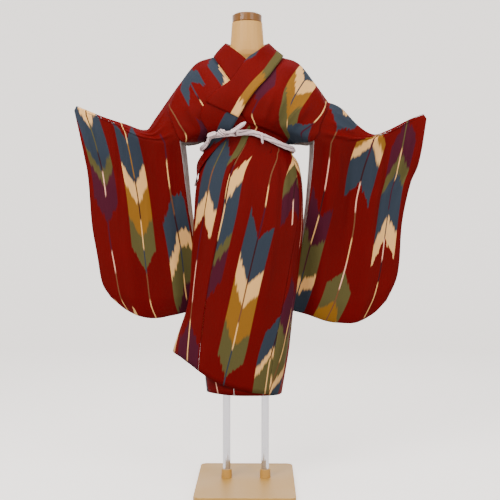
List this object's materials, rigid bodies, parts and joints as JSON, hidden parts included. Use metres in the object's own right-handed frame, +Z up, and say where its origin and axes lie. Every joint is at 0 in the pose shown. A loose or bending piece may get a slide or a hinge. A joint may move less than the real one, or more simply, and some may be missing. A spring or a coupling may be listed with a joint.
{
  "type": "kofurisode kimono on a limbless dress form",
  "caption": "Long-sleeved red silk kimono with an arrow-feather weave, tied with a white cord sash over a limbless dress form that stands on a low plate.",
  "frame": {"origin": "middle of the underside of the base plate, midway between the poles", "axes": "+Z up, -Y the front of the kimono, +X the wearer's left, where the outer front comes from"},
  "size_m": [1.1808, 0.41, 1.549],
  "materials": {
    "crepe": "matt silk crepe with a low sheen",
    "lining": "plain white silk lining",
    "sash": "soft twisted white cloth",
    "form": "smooth satin beige",
    "cap": "glossy amber lacquer",
    "pole": "polished",
    "base": "satin cream paint"
  },
  "bodies": {
    "root": {"base_plate": "base", "belt_band": "sash", "belt_knot": "sash", "belt_tail_left": "sash", "belt_tail_right": "sash", "belt_tuck": "sash", "body_left": "crepe", "body_right": "crepe", "collar": "crepe", "form_cap": "cap", "form_torso": "form", "over_collar": "crepe", "overlap_left": "crepe", "overlap_right": "crepe", "pole_left": "pole", "pole_right": "pole", "sleeve_left": "crepe", "sleeve_lining_left": "lining", "sleeve_lining_right": "lining", "sleeve_right": "crepe", "socket_left": "base", "socket_right": "base"}
  },
  "joints": []
}
